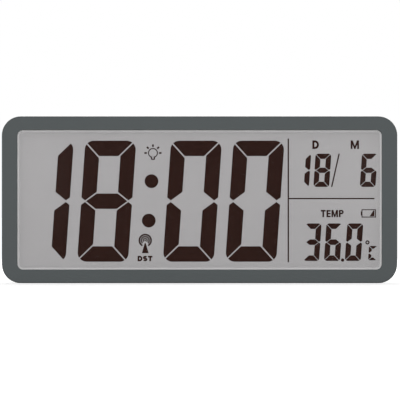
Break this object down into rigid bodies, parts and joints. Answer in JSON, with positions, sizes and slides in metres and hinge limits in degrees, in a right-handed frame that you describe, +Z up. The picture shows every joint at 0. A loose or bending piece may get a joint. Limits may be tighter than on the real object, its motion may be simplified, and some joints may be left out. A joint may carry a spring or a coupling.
{
  "type": "digital wall and table clock",
  "caption": "Wide flat liquid crystal clock with large slanted time figures, date and temperature; hangs on keyholes or leans back on its fold-out stand.",
  "frame": {"origin": "on the table, under the middle of the case", "axes": "+X to the right as seen from the front, +Y from the front to the back, +Z up"},
  "size_m": [0.365, 0.031, 0.154],
  "materials": {
    "bezel_plastic": "satin",
    "housing_plastic": "matte",
    "stand_plastic": "matte",
    "door_plastic": "matte",
    "button_plastic": "satin",
    "plunger_plastic": "satin",
    "clear_lens": "polished",
    "foam_tape": "matte",
    "foam_gasket": "matte",
    "polariser_film": "satin",
    "display_glass": "polished",
    "cell_sealant": "satin",
    "dark_segments": "matte",
    "clear_guide": "polished",
    "silver_film": "satin",
    "circuit_board": "satin",
    "lamp_resin": "satin",
    "lead_sleeve": "satin",
    "tray_plastic": "matte",
    "screw_steel": "satin",
    "striped_rubber": "matte",
    "black_resin": "satin",
    "can_steel": "polished",
    "capacitor_can": "satin",
    "chip_ceramic": "satin",
    "sensor_resin": "gloss",
    "header_plastic": "satin",
    "ferrite": "matte",
    "copper_winding": "satin",
    "switch_plastic": "satin",
    "cell_wrap": "satin",
    "contact_steel": "satin",
    "red_sleeve": "satin",
    "black_sleeve": "satin"
  },
  "bodies": {
    "case": {"antenna_coil": "copper_winding", "antenna_leads": "copper_winding", "backlight_boards": "circuit_board", "backlight_leads": "lead_sleeve", "backlight_leds": "lamp_resin", "battery_cells": "cell_wrap", "battery_springs": "contact_steel", "board_screws": "screw_steel", "case_screws": "screw_steel", "cell_seal": "cell_sealant", "chip_components": "chip_ceramic", "colon_dots": "dark_segments", "contact_strip": "striped_rubber", "controller_chip": "black_resin", "date_digits": "dark_segments", "display_gasket": "foam_gasket", "display_lens": "clear_lens", "display_tray": "tray_plastic", "divider_lines": "dark_segments", "ferrite_rod": "ferrite", "front_bezel": "bezel_plastic", "front_glass": "display_glass", "front_polariser": "polariser_film", "hour_digits": "dark_segments", "lens_tape": "foam_tape", "light_guide": "clear_guide", "main_board": "circuit_board", "minute_digits": "dark_segments", "negative_contact": "contact_steel", "negative_lead": "black_sleeve", "positive_contact": "contact_steel", "positive_lead": "red_sleeve", "quartz_crystal": "can_steel", "rear_glass": "display_glass", "rear_housing": "housing_plastic", "rear_polariser": "polariser_film", "receiver_board": "circuit_board", "receiver_header": "header_plastic", "reflector_sheet": "silver_film", "series_contact": "contact_steel", "supply_capacitor": "capacitor_can", "switch_bodies": "switch_plastic", "temperature_digits": "dark_segments", "temperature_sensor": "sensor_resin", "tray_screws": "screw_steel"},
    "stand": {"stand": "stand_plastic"},
    "battery_door": {"battery_door": "door_plastic"},
    "light_button": {"light_button": "button_plastic", "light_plunger": "plunger_plastic"},
    "wave_button": {"wave_button": "button_plastic", "wave_plunger": "plunger_plastic"},
    "unit_button": {"unit_button": "button_plastic", "unit_plunger": "plunger_plastic"},
    "down_button": {"down_button": "button_plastic", "down_plunger": "plunger_plastic"},
    "up_button": {"up_button": "button_plastic", "up_plunger": "plunger_plastic"},
    "set_button": {"set_button": "button_plastic", "set_plunger": "plunger_plastic"}
  },
  "joints": [
    {"name": "stand_hinge", "type": "hinge", "parent": "case", "child": "stand", "pos_m": [0, 0.01307, 0.072], "axis": [1, 0, 0], "range_deg": [0, 35]},
    {"name": "battery_door_hinge", "type": "hinge", "parent": "case", "child": "battery_door", "pos_m": [0.108, 0.01348, 0.02485], "axis": [-1, 0, 0], "range_deg": [0, 90]},
    {"name": "light_press", "type": "slide", "parent": "case", "child": "light_button", "axis": [0, -1, 0], "range_m": [0, 0.0006], "stiffness_N_per_m": 1000, "springref_m": -0.0003},
    {"name": "wave_press", "type": "slide", "parent": "case", "child": "wave_button", "axis": [0, -1, 0], "range_m": [0, 0.0006], "stiffness_N_per_m": 1000, "springref_m": -0.0003},
    {"name": "unit_press", "type": "slide", "parent": "case", "child": "unit_button", "axis": [0, -1, 0], "range_m": [0, 0.0006], "stiffness_N_per_m": 1000, "springref_m": -0.0003},
    {"name": "down_press", "type": "slide", "parent": "case", "child": "down_button", "axis": [0, -1, 0], "range_m": [0, 0.0006], "stiffness_N_per_m": 1000, "springref_m": -0.0003},
    {"name": "up_press", "type": "slide", "parent": "case", "child": "up_button", "axis": [0, -1, 0], "range_m": [0, 0.0006], "stiffness_N_per_m": 1000, "springref_m": -0.0003},
    {"name": "set_press", "type": "slide", "parent": "case", "child": "set_button", "axis": [0, -1, 0], "range_m": [0, 0.0006], "stiffness_N_per_m": 1000, "springref_m": -0.0003}
  ]
}
